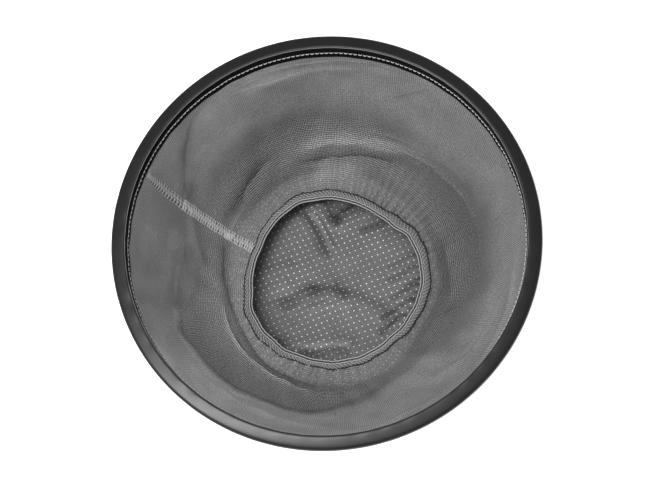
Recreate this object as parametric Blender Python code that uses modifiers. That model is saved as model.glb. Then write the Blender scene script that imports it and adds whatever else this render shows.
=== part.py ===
"""Beekeeping veil: a gathered net bowl between a wire hoop and a head ring, with a perforated cloth crown.

The veil lies crown down, as it is put away: +Z is up, the origin is on the resting surface under the
middle of the crown, and every ring of the veil is centred on the Z axis. Lengths are in metres.
"""

from math import cos, hypot, pi, radians, sin

import bpy

# Rings and heights
RIM_RADIUS = 0.200  # outer edge of the rim
RIM_HEIGHT = 0.180  # middle of the rim band above the surface
HEAD_RADIUS = 0.0850  # middle of the elastic round the head opening
HEAD_HEIGHT = 0.028  # middle of the elastic above the surface
SEGMENTS = 48  # facets round every ring
HALF_STEP = pi / SEGMENTS

# Rim: spring wire hoop inside a folded binding, with a hem below
WIRE_RADIUS = 0.00125
CAVITY_RADIUS = 0.0030  # the binding's loose fold round the wire
BINDING_THICKNESS = 0.0008
BINDING_OUTER = CAVITY_RADIUS + BINDING_THICKNESS
HOOP_RADIUS = RIM_RADIUS - BINDING_OUTER
BAND_INSET = 0.0097  # from the wire to the binding's inner edges
HEM_THICKNESS = 0.0009
HEM_DEPTH = 0.0165
STITCH_DROP = 0.0070  # the hem's stitch line below the rim's middle
THREAD_RADIUS = 0.0004
GAP = 0.0003  # clearance between pieces that touch

# Crimp sleeve that joins the hoop's ends, at the back of the rim
FERRULE_LENGTH = 0.014
FERRULE_MIDDLE = 0.0020
FERRULE_THICKNESS = 0.0004
FERRULE_ANGLE = radians(90)
WIRE_END_GAP = 0.0008

# Soft panels
NET_THICKNESS = 0.0008
CROWN_THICKNESS = 0.0009
CROWN_BULGE = 0.0370  # how far the crown spreads outside the head opening
SEAM_ANGLE = radians(146.25)  # the net's side seam, on the middle of a facet
SEAM_WIDTH = 0.009
SEAM_THICKNESS = 0.0012

# Head ring
ELASTIC_WIDTH = 0.0075
ELASTIC_THICKNESS = 0.0010
PIPING_RADIUS = 0.0009
OVERLOCK_WIDTH = 0.0060
OVERLOCK_INSET = 0.0020  # from the elastic to the overlocked edge's inner side
OVERLOCK_THICKNESS = 0.0012

BLACK_TAPE = ("black_binding_tape", (0.030, 0.030, 0.031), 0.45, 0.0)
BLACK_CLOTH = ("black_crown_cloth", (0.020, 0.020, 0.021), 0.80, 0.0)
NET = ("grey_net", (0.110, 0.110, 0.112), 0.70, 0.0)
THREAD = ("grey_thread", (0.260, 0.260, 0.260), 0.75, 0.0)
ELASTIC = ("black_elastic", (0.035, 0.035, 0.036), 0.70, 0.0)
SPRING_STEEL = ("spring_steel", (0.550, 0.550, 0.540), 0.30, 1.0)


def clear_scene():
    for old in list(bpy.data.objects):
        bpy.data.objects.remove(old, do_unlink=True)


def material(look):
    name, colour, roughness, metallic = look
    made = bpy.data.materials.get(name) or bpy.data.materials.new(name)
    made.use_nodes = True
    shader = made.node_tree.nodes["Principled BSDF"]
    shader.inputs["Base Color"].default_value = (*colour, 1.0)
    shader.inputs["Roughness"].default_value = roughness
    shader.inputs["Metallic"].default_value = metallic
    return made


def add_part(name, data, look):
    part = bpy.data.objects.new(name, data)
    part.data.materials.append(material(look))
    VEIL.objects.link(part)
    return part


def add_solidify(part, thickness):
    solidify = part.modifiers.new("thickness", "SOLIDIFY")
    solidify.thickness = thickness
    solidify.offset = 0.0
    solidify.use_even_offset = True


def turned_shell(name, profile, thickness, look, steps=SEGMENTS):
    """A sheet turned about Z from an open profile of (radius, height) points, then thickened."""
    mesh = bpy.data.meshes.new(name)
    points = [(radius, 0.0, height) for radius, height in profile]
    mesh.from_pydata(points, [(i, i + 1) for i in range(len(points) - 1)], [])
    part = add_part(name, mesh, look)
    screw = part.modifiers.new("turn", "SCREW")
    screw.axis = "Z"
    screw.angle = 2 * pi
    screw.steps = screw.render_steps = steps
    screw.use_merge_vertices = True
    screw.merge_threshold = 0.00001
    screw.use_smooth_shade = True
    add_solidify(part, thickness)
    return part


def thread_ring(name, radius, height, look, thread=THREAD_RADIUS, sides=6):
    """A closed round cord about Z."""
    bpy.ops.mesh.primitive_torus_add(
        major_radius=radius,
        minor_radius=thread,
        major_segments=SEGMENTS,
        minor_segments=sides,
        location=(0.0, 0.0, height),
    )
    part = bpy.context.object
    part.name = part.data.name = name
    part.data.shade_smooth()
    part.data.materials.append(material(look))
    for home in list(part.users_collection):
        home.objects.unlink(part)
    VEIL.objects.link(part)
    return part


def curve_part(name, points, look, flat=False):
    """A POLY curve through the points; a flat one lies in its own XY plane."""
    curve = bpy.data.curves.new(name, "CURVE")
    curve.dimensions = "2D" if flat else "3D"
    curve.fill_mode = "NONE" if flat else "FULL"
    spline = curve.splines.new("POLY")
    spline.points.add(len(points) - 1)
    for target, point in zip(spline.points, points):
        target.co = (*point, 1.0)
    return add_part(name, curve, look)


def stand_at_seam(part):
    """Turns a curve drawn in (radius, height) so that it stands upright at the side seam."""
    part.rotation_euler = (pi / 2, 0.0, SEAM_ANGLE)


def arc(centre, radius, start, end, count):
    """Points (r, z) along an arc, with angles in degrees from the outward direction."""
    turns = [radians(start + (end - start) * i / (count - 1)) for i in range(count)]
    return [(centre[0] + radius * cos(t), centre[1] + radius * sin(t)) for t in turns]


def offset_path(path, distance):
    """The path moved sideways, to the left of its direction when distance is positive."""
    moved = []
    for i, (r, z) in enumerate(path):
        before, after = path[max(i - 1, 0)], path[min(i + 1, len(path) - 1)]
        dr, dz = after[0] - before[0], after[1] - before[1]
        length = hypot(dr, dz)
        moved.append((r - distance * dz / length, z + distance * dr / length))
    return moved


def on_rim(inset, rise):
    """A point given by its distance inside the wire and above the rim's middle."""
    return (HOOP_RADIUS - inset, RIM_HEIGHT + rise)


def net_profile():
    """The slack net, from behind the hem down and in to the head ring."""
    top = on_rim(0.0108, -0.0085)
    below_hem = on_rim(0.0122, -0.0180)
    inner = (HEAD_RADIUS + 0.0050, HEAD_HEIGHT + 0.0030)
    depth = below_hem[1] - inner[1]
    reach = below_hem[0] - inner[0]
    bowl = [
        (inner[0] + reach * cos(t), below_hem[1] - depth * sin(t) ** 1.35)
        for t in [pi / 2 * i / 8 for i in range(1, 8)]
    ]
    return [top, below_hem, *bowl, inner]


def crown_profile():
    """The collapsed crown cloth, from the head ring out over its bulge and flat across the surface."""
    edge = (HEAD_RADIUS + 0.0040, HEAD_HEIGHT + 0.0010)
    flat_height = CROWN_THICKNESS / 2
    middle = (edge[1] + flat_height) / 2
    side = (edge[1] - flat_height) / 2
    outer = HEAD_RADIUS + CROWN_BULGE
    shoulder = outer - 0.0180
    bulge = [
        (shoulder + (outer - shoulder) * cos(t), middle + side * sin(t))
        for t in [pi / 2 - pi * i / 8 for i in range(9)]
    ]
    return [edge, *bulge, (0.0, flat_height)]


def build_hoop():
    """The spring wire, its ends meeting in a crimped sleeve."""
    opening = WIRE_END_GAP / 2 / HOOP_RADIUS
    start, end = FERRULE_ANGLE + opening, FERRULE_ANGLE + 2 * pi - opening
    turns = [start + (end - start) * i / SEGMENTS for i in range(SEGMENTS + 1)]
    points = [(HOOP_RADIUS * cos(t), HOOP_RADIUS * sin(t), RIM_HEIGHT) for t in turns]
    wire = curve_part("hoop_wire", points, SPRING_STEEL)
    wire.data.bevel_depth = WIRE_RADIUS
    wire.data.bevel_resolution = 1
    wire.data.use_fill_caps = True

    half = FERRULE_LENGTH / 2
    sleeve = [(FERRULE_MIDDLE, half), (FERRULE_MIDDLE, -half)]
    ferrule = turned_shell("hoop_ferrule", sleeve, FERRULE_THICKNESS, SPRING_STEEL, steps=16)
    ferrule.location = (
        HOOP_RADIUS * cos(FERRULE_ANGLE),
        HOOP_RADIUS * sin(FERRULE_ANGLE),
        RIM_HEIGHT,
    )
    ferrule.rotation_euler = (pi / 2, 0.0, FERRULE_ANGLE)


def build_rim():
    """The binding folded over the wire, and the hem that it clamps."""
    fold = CAVITY_RADIUS + BINDING_THICKNESS / 2
    leg = [on_rim(BAND_INSET, 0.00125), on_rim(0.0055, 0.0024)]
    lower_leg = [on_rim(0.0055, -0.0024), on_rim(BAND_INSET, -0.00125)]
    outer_fold = arc(on_rim(0.0, 0.0), fold, 105, -105, 9)
    turned_shell("rim_binding", [*leg, *outer_fold, *lower_leg], BINDING_THICKNESS, BLACK_TAPE)

    flange = [on_rim(0.0062, 0.0), on_rim(0.0098, 0.0)]
    wall = [on_rim(0.0112, -0.0010), on_rim(0.0116, -0.0030), on_rim(0.0136, -HEM_DEPTH)]
    turned_shell("rim_hem", [*flange, *wall], HEM_THICKNESS, BLACK_TAPE)

    hem_face = 0.0123 + HEM_THICKNESS / 2
    stitch_radius = HOOP_RADIUS - hem_face - GAP - THREAD_RADIUS
    thread_ring("rim_stitching", stitch_radius, RIM_HEIGHT - STITCH_DROP, THREAD)


def build_net():
    """The gathered net, with the overlocked side seam that closes it into a ring."""
    profile = net_profile()
    turned_shell("veil_net", profile, NET_THICKNESS, NET)

    inside = profile[1:-1]
    facet = [(radius * cos(HALF_STEP), height) for radius, height in inside]
    seam_lift = NET_THICKNESS / 2 + GAP + SEAM_THICKNESS / 2
    seam = curve_part("side_seam_overlock", with_depth(facet, seam_lift), THREAD, flat=True)
    seam.data.extrude = SEAM_WIDTH / 2
    add_solidify(seam, SEAM_THICKNESS)
    stand_at_seam(seam)

    thread_lift = seam_lift + SEAM_THICKNESS / 2 + GAP + THREAD_RADIUS
    stitches = curve_part("side_seam_stitching", with_depth(facet, thread_lift), THREAD)
    stitches.data.bevel_depth = THREAD_RADIUS
    stitches.data.bevel_resolution = 1
    stitches.data.use_fill_caps = True
    stand_at_seam(stitches)


def with_depth(path, lift):
    """The path lifted off the net towards the inside of the veil, as points with a third coordinate."""
    return [(r, z, 0.0) for r, z in offset_path(path, -lift)]


def build_crown():
    """The perforated cloth that covers the head, lying slack on the surface."""
    turned_shell("crown_cloth", crown_profile(), CROWN_THICKNESS, BLACK_CLOTH)


def build_head_ring():
    """The elastic, piping and overlocked seam where the net meets the crown."""
    half = ELASTIC_WIDTH / 2
    elastic = [(HEAD_RADIUS, HEAD_HEIGHT + half), (HEAD_RADIUS, HEAD_HEIGHT - half)]
    turned_shell("head_elastic", elastic, ELASTIC_THICKNESS, ELASTIC)

    piping_height = HEAD_HEIGHT + half + GAP + PIPING_RADIUS + 0.0005
    thread_ring("crown_piping", HEAD_RADIUS, piping_height, BLACK_TAPE, thread=PIPING_RADIUS)

    seam_height = HEAD_HEIGHT + 0.0053
    inner = HEAD_RADIUS + OVERLOCK_INSET
    outer = inner + OVERLOCK_WIDTH
    band = [(inner, seam_height), (outer, seam_height + 0.0015)]
    turned_shell("crown_seam_overlock", band, OVERLOCK_THICKNESS, THREAD)

    stitch_lift = 0.0008 + OVERLOCK_THICKNESS / 2 + GAP + THREAD_RADIUS
    stitch_radius = (inner + outer) / 2
    thread_ring("crown_seam_stitching", stitch_radius, seam_height + stitch_lift, THREAD)


clear_scene()
VEIL = bpy.data.collections.new("beekeeping_veil")
bpy.context.scene.collection.children.link(VEIL)
build_hoop()
build_rim()
build_net()
build_crown()
build_head_ring()
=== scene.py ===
"""The looks of a beekeeping veil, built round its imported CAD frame.

Every soft CAD solid is replaced by detailed cloth or thread: a satin rim binding, a topstitched hem, a slack
net with a long fold in it, an overlocked side seam, a gathered head ring and a perforated crown. Lengths are
in metres, in the frame of the CAD model: +Z is up and every ring of the veil is centred on the Z axis.
"""

import math

import bpy
import numpy as np
from mathutils import Matrix, Vector


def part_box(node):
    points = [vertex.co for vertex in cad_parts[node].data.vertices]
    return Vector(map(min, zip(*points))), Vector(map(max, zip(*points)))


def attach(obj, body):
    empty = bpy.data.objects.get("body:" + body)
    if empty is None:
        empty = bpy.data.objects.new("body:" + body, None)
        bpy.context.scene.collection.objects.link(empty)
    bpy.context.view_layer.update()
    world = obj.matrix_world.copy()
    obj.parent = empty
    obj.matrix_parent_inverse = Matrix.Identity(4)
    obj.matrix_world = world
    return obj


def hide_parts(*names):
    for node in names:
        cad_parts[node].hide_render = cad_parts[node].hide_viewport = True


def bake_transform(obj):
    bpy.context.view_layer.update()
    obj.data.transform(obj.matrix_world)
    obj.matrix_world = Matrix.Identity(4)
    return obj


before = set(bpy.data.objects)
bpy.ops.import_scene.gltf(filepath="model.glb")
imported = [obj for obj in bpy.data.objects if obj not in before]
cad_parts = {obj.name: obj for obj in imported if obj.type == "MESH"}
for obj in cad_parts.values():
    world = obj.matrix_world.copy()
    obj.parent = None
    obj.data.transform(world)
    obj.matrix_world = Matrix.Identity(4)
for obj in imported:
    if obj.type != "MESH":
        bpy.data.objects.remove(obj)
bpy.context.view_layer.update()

TAU = 2 * math.pi


# ---------------- sizes read from the frame

BINDING_LOW, BINDING_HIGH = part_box("rim_binding")
RIM_RADIUS = BINDING_HIGH.x
RIM_HEIGHT = (BINDING_LOW.z + BINDING_HIGH.z) / 2
FOLD_RADIUS = (BINDING_HIGH.z - BINDING_LOW.z) / 2
WIRE_RADIUS = RIM_RADIUS - FOLD_RADIUS
HEM_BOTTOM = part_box("rim_hem")[0].z
NET_BOTTOM, NET_TOP = (corner.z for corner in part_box("veil_net"))
ELASTIC_LOW, ELASTIC_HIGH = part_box("head_elastic")
HEAD_RADIUS = ELASTIC_HIGH.x
HEAD_HEIGHT = (ELASTIC_LOW.z + ELASTIC_HIGH.z) / 2
CROWN_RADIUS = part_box("crown_cloth")[1].x
SEAM_ANGLE = math.radians(146.25)
SEAM_SIDE = 146  # the side seam's direction in whole degrees, where it stiffens the net
HEM_LEAN = 0.0006  # how much nearer the axis the hem's lower edge is than its upper one
HEM_INSET = 0.0092  # from the wire's middle in to the hem's outer face
HEM_RADIUS = WIRE_RADIUS - HEM_INSET
BAND_CANT = 0.25  # the rim band's slope: its inner edge stands higher than the wire


# ---------------- cloth shapes

def smooth_step(x):
    x = np.clip(x, 0, 1)
    return x * x * (3 - 2 * x)


def waves(theta, along, seed, around_range, along_range, count=10):
    """Smooth seeded waves of about -1 to 1 that meet themselves after a turn."""
    chosen = np.random.default_rng(seed)
    total = 0.0
    for _ in range(count):
        turns = int(chosen.integers(*around_range))
        rows = chosen.uniform(*along_range)
        phase = chosen.uniform(0, TAU)
        total = total + np.sin(turns * theta + TAU * rows * along + phase)
    return total / math.sqrt(2 * count)


def around_values(theta, stations):
    """A smooth value round the veil through (degrees, value) stations, one turn long."""
    angles = np.array([a for a, _ in stations], float)
    values = np.array([v for _, v in stations], float)
    turn = np.degrees(theta) % 360
    at = np.searchsorted(angles, turn, side="right") - 1
    after = (at + 1) % len(angles)
    span = (angles[after] - angles[at]) % 360
    share = smooth_step(((turn - angles[at]) % 360) / span)
    return values[at] + (values[after] - values[at]) * share


# How far the soft head ring strays from its true circle, and the width of its seam allowance as a share of
# the usual one, by direction from +X in degrees
RING_STRAY = (
    (0, 0.0025), (14, 0.001), (30, -0.005), (46, -0.0055), (62, -0.003), (80, 0.0), (104, 0.0035),
    (122, 0.0015), (146, -0.0015), (165, 0.0), (195, 0.006), (215, 0.0055), (240, 0.0035), (270, 0.002),
    (295, 0.0), (315, 0.001), (340, 0.003),
)
ALLOWANCE_WIDTH = (
    (0, 1.25), (28, 1.5), (46, 1.00), (75, 1.25), (95, 1.2), (120, 0.8), (150, 0.6), (180, 0.95),
    (205, 1.05), (240, 0.65), (262, 0.85), (290, 0.65), (318, 1.05), (345, 1.25),
)


def ring_shift(theta):
    """How far the soft head ring strays outward from its true circle."""
    return around_values(theta, RING_STRAY) + 0.0004 * waves(theta, 0, 15, (8, 22), (0, 1))


def bell(theta, centre, width):
    """1 at a direction in degrees, falling to 0 on both sides of it."""
    away = (np.degrees(theta) - centre + 180) % 360 - 180
    return np.exp(-((away / width) ** 2))


def ring_rise(theta):
    return 0.0008 * np.sin(2 * theta + 1.9) + 0.0005 * np.sin(5 * theta)


NET_OUTER = WIRE_RADIUS - 0.0102
NET_BEND = HEM_BOTTOM - 0.0010
NET_INNER = HEAD_RADIUS + 0.0030
NET_INNER_HEIGHT = NET_BOTTOM + 0.0004
NET_SLANT = math.hypot(NET_OUTER - NET_INNER, NET_BEND - NET_INNER_HEIGHT) * 1.08  # it sags below the chord
NET_CLOTH_WIDTH = TAU * (NET_OUTER + 0.0012)  # the girth inside the hem
# Where the net's long fold starts and where it turns back underneath, by direction from +X in degrees, as
# shares of the way from the hem to the head ring
FOLD_START = (
    (0, 0.31), (18, 0.31), (36, 0.38), (52, 0.33), (77, 0.33), (105, 0.34), (124, 0.36), (140, 0.46),
    (160, 0.55), (174, 0.5), (190, 0.4), (202, 0.46), (216, 0.47), (245, 0.51), (263, 0.61), (280, 0.65),
    (299, 0.63), (315, 0.5), (328, 0.44), (342, 0.35),
)
FOLD_END = (
    (8, 0.9), (37, 0.88), (57, 0.85), (80, 0.83), (100, 0.82), (121, 0.82), (140, 0.82), (165, 0.86),
    (190, 0.87), (214, 0.84), (235, 0.83), (254, 0.83), (280, 0.85), (313, 0.91), (338, 0.89),
)
FOLD_ROUND = 0.012  # how far the cloth swells past each turn of the fold, as a share of the way
LAYER_GAPS = (0.0034, 0.0022)  # metres from the lower to the middle layer, and on to the top one
TOP_LIFT = 0.0006  # how far the top layer stays above the bowl where the fold has ended
# Shares of the net's length: behind the hem, lower layer, turn, middle layer, turn, top layer
NET_STATIONS = (0.0, 0.06, 0.42, 0.44, 0.62, 0.64, 1.0)


def bowl(share):
    """(radius, height) of the slack net, from below the hem at 0 to the head ring at 1."""
    turn = np.clip(share, 0, 1) * math.pi / 2
    radius = NET_INNER + (NET_OUTER - NET_INNER) * np.cos(turn)
    return radius, NET_BEND - (NET_BEND - NET_INNER_HEIGHT) * np.sin(turn) ** 1.35


def bowl_normal(share):
    """The bowl's direction towards the inside of the veil."""
    r0, z0 = bowl(np.clip(share - 0.01, 0.0, 1))
    r1, z1 = bowl(np.clip(share + 0.01, 0.02, 1))
    length = np.hypot(r1 - r0, z1 - z0)
    return (z1 - z0) / length, -(r1 - r0) / length


def fold_edges(theta):
    """The shares at which the long fold starts and turns back, with the unevenness of slack cloth."""
    crumple = 0.010 * waves(theta, 0, 11, (5, 15), (0, 1)) + 0.006 * waves(theta, 0, 12, (20, 48), (0, 1))
    crumple = crumple * (1 - 0.8 * bell(theta, SEAM_SIDE, 9))
    return around_values(theta, FOLD_START) + crumple, around_values(theta, FOLD_END) + 0.6 * crumple


# The net's creases: (from and to in degrees, first and last share, tuck, height, width, tone). A tuck over 1
# doubles the cloth back on itself. Height and width are in metres. Tone is painted light, how much paler the
# cloth is made along the crease, or painted shade, darker, if it is below 0.
CREASES = (
    (46, 106, 0.06, 0.08, 1.5, 0.0008, 0.004, -0.3),
    (50, 112, 0.14, 0.2, 0.3, 0.0026, 0.01, 0.22),
    (30, 102, 0.59, 0.69, 0.3, 0.0044, 0.008, 0.38),
    (44, 98, 0.7, 0.77, 1.4, -0.003, 0.007, -0.58),
    (58, 92, 0.85, 0.87, 0.0, 0.003, 0.009, 0.5),
    (101, 146, 0.65, 0.77, 1.3, -0.005, 0.0085, -0.66),
    (114, 145, 0.06, 0.56, 0.9, -0.0034, 0.0095, -0.6),
    (119, 142, 0.06, 0.5, 1.2, 0.001, 0.0024, -0.7),
    (128, 150, 0.2, 0.62, 0.6, -0.001, 0.005, -0.16),
    (142, 164, 0.5, 0.67, 0.6, 0.003, 0.0042, 0.34),
    (136, 196, 0.78, 0.89, 1.4, -0.003, 0.006, -0.62),
    (184, 250, 0.9, 0.8, 1.4, -0.003, 0.0066, -0.58),
    (174, 252, 0.8, 0.74, 0.6, 0.0024, 0.0026, 0.26),
    (150, 200, 0.6, 0.44, 0.6, -0.0024, 0.007, -0.26),
    (352, 64, 0.53, 0.61, 0.5, 0.0014, 0.0022, 0.22),
    (4, 68, 0.46, 0.57, 0.5, 0.0012, 0.002, 0.18),
    (20, 78, 0.49, 0.66, 0.4, 0.001, 0.0018, 0.16),
    (44, 56, 0.14, 0.34, 1.5, 0.0008, 0.0022, -0.55),
    (60, 118, 0.1, 0.11, 1.4, 0.0006, 0.0026, -0.4),
    (84, 112, 0.16, 0.15, 1.4, 0.0006, 0.0022, -0.34),
    (300, 352, 0.34, 0.2, 0.3, 0.0026, 0.009, 0.14),
    (290, 345, 0.56, 0.44, 0.2, 0.002, 0.008, 0.14),
    (316, 10, 0.74, 0.82, 0.6, 0.0016, 0.012, -0.14),
    (246, 300, 0.34, 0.36, 0.3, 0.0018, 0.006, 0.16),
    (196, 262, 0.4, 0.44, 0.2, 0.0022, 0.008, 0.2),
)
# Painted light and shade: how pale the net is made in its folded part and outside it, against its usual grey,
# by direction
FOLD_SHADE = (
    (0, -0.26), (45, -0.2), (80, 0.08), (112, -0.04), (148, 0.34), (182, 0.58), (215, 0.46), (250, 0.22),
    (300, -0.14),
)
RIM_SHADE = (
    (0, 0.0), (60, -0.08), (112, -0.16), (150, -0.32), (185, -0.3), (208, 0.08), (250, 0.04), (300, 0.0),
)
# How fully the folded layers' fine mesh shows, and the share of the way over which it comes in
FOLD_DENSITY = (
    (0, 0.95), (45, 0.92), (80, 0.82), (112, 0.86), (148, 0.7), (182, 0.6), (215, 0.8), (250, 0.84),
    (300, 0.9),
)
FOLD_FEATHER = (
    (0, 0.38), (30, 0.4), (60, 0.28), (90, 0.2), (115, 0.26), (150, 0.2), (178, 0.16), (196, 0.05),
    (240, 0.04), (268, 0.1), (292, 0.34), (325, 0.38), (342, 0.38),
)


def crease(theta, share):
    """(shift along the bowl as a share, height in metres, tone) that the creases give the cloth."""
    shift, rise, shade = 0.0, 0.0, 0.0
    degrees = np.degrees(theta)
    for start, end, first, last, tuck, height, width, tone in CREASES:
        along = ((degrees - start) % 360) / ((end - start) % 360)
        fade = smooth_step(along / 0.3) * smooth_step((1 - along) / 0.3) * (along < 1)
        wide = width / NET_SLANT
        wobble = 0.006 * np.sin(9 * theta + 30 * first)
        away = (share - first - (last - first) * np.clip(along, 0, 1) - wobble) / wide
        near = fade * np.exp(-(away**2))
        shift = shift - tuck * wide * away * near
        rise = rise + height * near + 0.0007 * min(tuck, 1) * away * near
        # painted light and shade along each crease, by its tone
        shade = shade + tone * near
    return shift, rise, shade


NET_PLEATS = 46


def gather(theta, share):
    """(turn in radians, height in metres) of the pleats that draw the cloth in to the head ring."""
    near = np.exp(-((1 - share) / 0.10)) * (0.5 + 0.5 * bell(theta, 40, 40) + 0.5 * bell(theta, 225, 40))
    phase = NET_PLEATS * theta + 2.5 * np.sin(5 * theta) + 1.5 * np.sin(3 * theta)
    turned = 1.1 * near * np.sin(phase) / NET_PLEATS
    return turned, 0.0014 * near * np.cos(phase) * smooth_step((1 - share) / 0.02)


def hem_ripple(theta):
    """How far the hem's lower edge, and the net sewn into it, stray outward."""
    return 0.00030 * waves(theta, 0, 51, (18, 50), (0, 1))


def net_relief(theta, share):
    """Height of the net's slack and puckers over its smooth bowl. The side seam's stiffness holds it flat."""
    slack = smooth_step(share / 0.2) * smooth_step((1 - share) / 0.25)
    slack = slack * (1 - 0.85 * bell(theta, SEAM_SIDE, 9))
    relief = 0.0028 * slack * waves(theta, share, 3, (2, 8), (-1.2, 1.2))
    return relief + 0.0008 * slack * waves(theta, share, 4, (12, 34), (-5.0, 5.0))


def net_layers(theta, s):
    """(share of the way to the ring, offset, facing, whether it is on top) at share s of the net's length.

    offset is metres above the bowl, and facing is -1 where the cloth lies with its inner face down.
    """
    k = NET_STATIONS
    part = [(s - k[i]) / (k[i + 1] - k[i]) for i in range(6)]
    start, end = fold_edges(theta)
    gap, second_gap = (size * (1 - 0.75 * bell(theta, SEAM_SIDE, 8)) for size in LAYER_GAPS)
    where = [s < k[1], s < k[2], s < k[3], s < k[4], s < k[5], s <= 1.001]
    share = np.select(where, [
        0 * s,
        part[1] * end,
        end + FOLD_ROUND * np.sin(math.pi * part[2]),
        end + (start - end) * part[3],
        start - FOLD_ROUND * np.sin(math.pi * part[4]),
        start + (1 - start) * part[5],
    ])
    settle = 1 - smooth_step((share - end + 0.10) / 0.16)
    offset = np.select(where, [
        0 * s,
        0 * s,
        gap / 2 * (1 - np.cos(math.pi * part[2])),
        gap + 0 * s,
        gap + second_gap / 2 * (1 - np.cos(math.pi * part[4])),
        TOP_LIFT + (gap + second_gap) * settle,
    ])
    up = 1 + 0 * s
    facing = np.select(where, [up, up, np.cos(math.pi * part[2]), -up, -np.cos(math.pi * part[4]), up])
    return share, offset, facing, s >= k[4]


def net_place(theta, s, lift=0.0):
    """(direction, radius, height) of the net at direction theta and share s of its length.

    lift is a height in metres above the cloth's inner face.
    """
    theta, s = np.broadcast_arrays(np.asarray(theta, float), np.asarray(s, float))
    share, offset, facing, top = net_layers(theta, s)
    start, _ = fold_edges(theta)
    tuck, rise, _ = crease(theta, share)
    shown = np.where(top, smooth_step((share - start) / 0.03), 1 - smooth_step((share - start + 0.03) / 0.03))
    radius, height = bowl(share + tuck * shown)
    across, up = bowl_normal(share)
    behind = np.clip(1 - s / NET_STATIONS[1], 0, 1)
    turned, pucker = gather(theta, share)
    near_ring = smooth_step((share - 0.8) / 0.2) * top
    relief = (net_relief(theta, share) + rise * shown) * np.where(behind > 0, 0, 1)
    away = offset + relief + pucker * near_ring + lift * facing
    in_hem = (1 - smooth_step(share / 0.05)) * (1 - 0.5 * behind)
    radius = radius + across * away + 0.0003 * behind + hem_ripple(theta) * in_hem
    height = height + up * away + (NET_TOP - NET_BEND) * behind
    return (theta + turned * np.where(top, 1, 0.2), radius + ring_shift(theta) * near_ring,
            height + ring_rise(theta) * near_ring)


PLEAT_SHADE = 0.58  # how much darker the hollows of the pleats look
RING_MESH, RING_THREADS = 0.50, 0.75  # how fully the top layer shows where only the crown lies below it


def net_look(theta, s):
    """(tone, mesh, threads) of the net: its paleness, and how fully its mesh and heavy threads show."""
    share, _, _, top = net_layers(theta, s)
    start, end = fold_edges(theta)
    _, _, shade = crease(theta, share)
    feather = around_values(theta, FOLD_FEATHER)
    inner = smooth_step((share - start) / feather)
    rim_shade = around_values(theta, RIM_SHADE)
    # painted light and shade by direction: FOLD_SHADE in the folded part, RIM_SHADE outside it
    shade = shade + around_values(theta, FOLD_SHADE) * inner + rim_shade * (1 - inner)
    shade = shade + 0.07 * waves(theta, share, 17, (2, 9), (-2.5, 2.5))
    gathers = bell(theta, 40, 40) + bell(theta, 225, 45)
    # Painted shade in the hollows of the pleats by the head ring, and painted light on their crests.
    pleat = np.sin(2 * NET_PLEATS * theta + 3 * np.sin(5 * theta)) * np.exp(-((1 - share) / 0.12)) * gathers
    closed = smooth_step((end + 0.02 - share) / 0.12)
    over_crown = 1 - closed
    density = around_values(theta, FOLD_DENSITY)
    lowest = s <= NET_STATIONS[2]
    folded = inner**1.7
    mesh = np.where(top, folded * (density * closed + RING_MESH * over_crown), folded * closed * density)
    mesh = np.where(lowest, (1 - 0.2 * rim_shade * (1 - inner)) * (1 - 0.3 * over_crown), mesh)
    threads = np.where(lowest, 1, inner * np.where(top, 1 - (1 - RING_THREADS) * over_crown, closed))
    return 0.5 + 0.5 * np.clip(shade - PLEAT_SHADE * pleat, -0.9, 0.9), mesh, threads


CROWN_EDGE = HEAD_RADIUS + 0.0030
CROWN_EDGE_HEIGHT = HEAD_HEIGHT + 0.0010
CROWN_FLOOR = 0.0007
CROWN_SHOULDER = CROWN_RADIUS - 0.0185
CROWN_BULGE = 0.34  # the share of the way from the crown's edge to its middle that its bulge takes up
SLUMP_SIDE, SLUMP_SPREAD, SLUMP = 100, 50, 0.0085  # the crown slumps outward here: degrees, degrees, metres
# Ridges and hollows of the slack crown cloth: (x0, y0, x1, y1, height, width, tone), in metres. Tone is
# painted light along it, or painted shade if it is below 0.
CROWN_RIDGES = (
    (-0.085, -0.003, -0.056, -0.007, 0.002, 0.007, -0.12),
    (-0.056, -0.007, -0.026, 0.0, 0.003, 0.006, -0.26),
    (-0.026, 0.0, 0.002, -0.011, 0.0034, 0.006, -0.32),
    (0.002, -0.011, 0.044, -0.042, 0.0028, 0.008, -0.26),
    (-0.03, -0.018, 0.006, -0.026, 0.003, 0.007, 0.16),
    (0.0, 0.09, 0.014, 0.068, 0.005, 0.005, -0.34),
    (0.016, 0.067, 0.042, 0.081, 0.005, 0.005, -0.34),
    (0.01, 0.076, 0.036, 0.084, -0.0024, 0.006, -0.26),
    (0.006, 0.088, 0.018, 0.08, 0.003, 0.006, 0.2),
    (-0.016, 0.08, -0.004, 0.036, 0.003, 0.006, -0.42),
    (-0.006, 0.082, 0.006, 0.042, 0.002, 0.003, 0.22),
    (0.039, 0.047, 0.066, 0.054, 0.003, 0.003, -0.34),
    (0.02, 0.058, 0.058, 0.072, 0.002, 0.004, 0.14),
    (-0.064, -0.05, -0.004, -0.064, 0.0034, 0.007, 0.42),
    (-0.078, -0.036, -0.05, -0.06, -0.001, 0.003, -0.26),
    (-0.05, -0.062, -0.004, -0.072, -0.0016, 0.003, -0.36),
    (0.084, -0.017, 0.052, -0.029, 0.0024, 0.0028, -0.34),
    (0.078, -0.033, 0.038, -0.045, 0.0024, 0.0026, -0.34),
    (0.086, -0.002, 0.054, -0.009, 0.002, 0.0026, -0.26),
    (0.064, -0.046, 0.03, -0.059, 0.0022, 0.0026, -0.3),
    (0.082, -0.025, 0.048, -0.036, 0.002, 0.0026, 0.2),
    (0.07, -0.04, 0.04, -0.052, 0.002, 0.0024, 0.18),
    (0.084, 0.01, 0.058, 0.004, 0.0016, 0.003, -0.2),
    (-0.074, 0.034, -0.046, 0.031, 0.002, 0.008, -0.18),
    (-0.084, 0.01, -0.054, 0.012, 0.002, 0.01, 0.12),
    (0.02, 0.02, 0.07, 0.036, 0.0024, 0.014, 0.1),
)


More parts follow.
